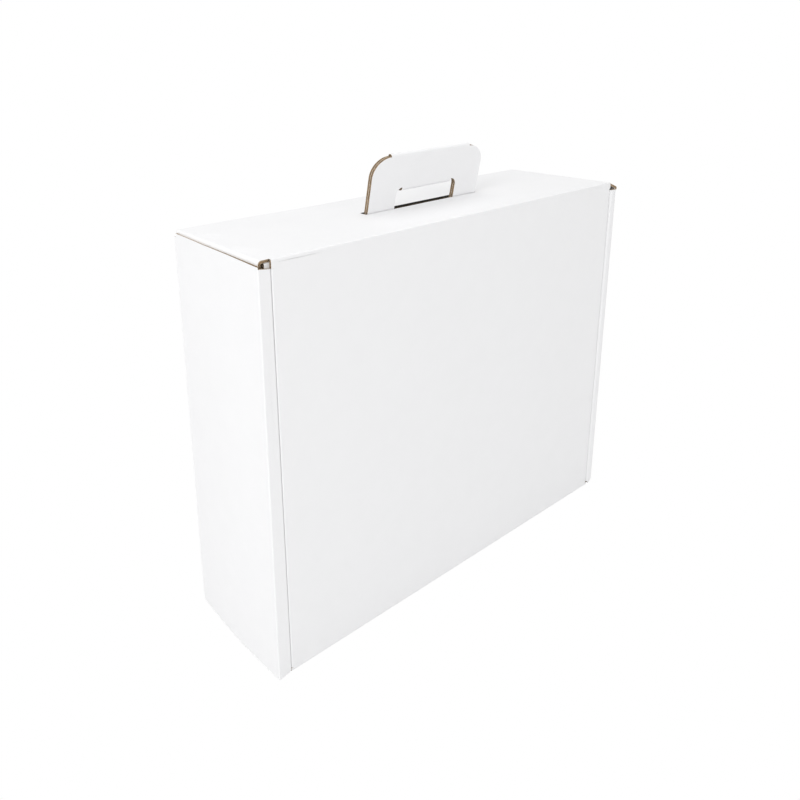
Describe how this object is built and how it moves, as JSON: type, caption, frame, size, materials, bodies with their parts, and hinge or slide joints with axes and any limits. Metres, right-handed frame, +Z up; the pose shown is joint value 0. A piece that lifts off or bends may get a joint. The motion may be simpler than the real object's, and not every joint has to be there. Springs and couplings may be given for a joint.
{
  "type": "cardboard carry box",
  "caption": "Flat upright carton with a fold-up carrying handle, folded from one blank of white-lined fluted board.",
  "frame": {"origin": "middle of the base, on the floor", "axes": "+X along the box's length, -Y towards the large lid panel, +Z up towards the handle"},
  "size_m": [0.4, 0.112, 0.3663],
  "materials": {
    "white_board": "matt white paper liner, brown cut edges"
  },
  "bodies": {
    "carton": {"carton": "white_board"},
    "top_flap": {"top_flap": "white_board"},
    "handle": {"handle": "white_board"}
  },
  "joints": [
    {"name": "top_flap_hinge", "type": "hinge", "parent": "carton", "child": "top_flap", "pos_m": [0, -0.056, 0.32], "axis": [1, 0, 0], "range_deg": [0, 110]},
    {"name": "handle_lean", "type": "hinge", "parent": "carton", "child": "handle", "pos_m": [0, 0.00171, 0.316], "axis": [1, 0, 0], "range_deg": [0, 19.8]}
  ],
  "couplings": [
    {"joint": "handle_lean", "follows": "top_flap_hinge", "ratio": 0.18}
  ]
}
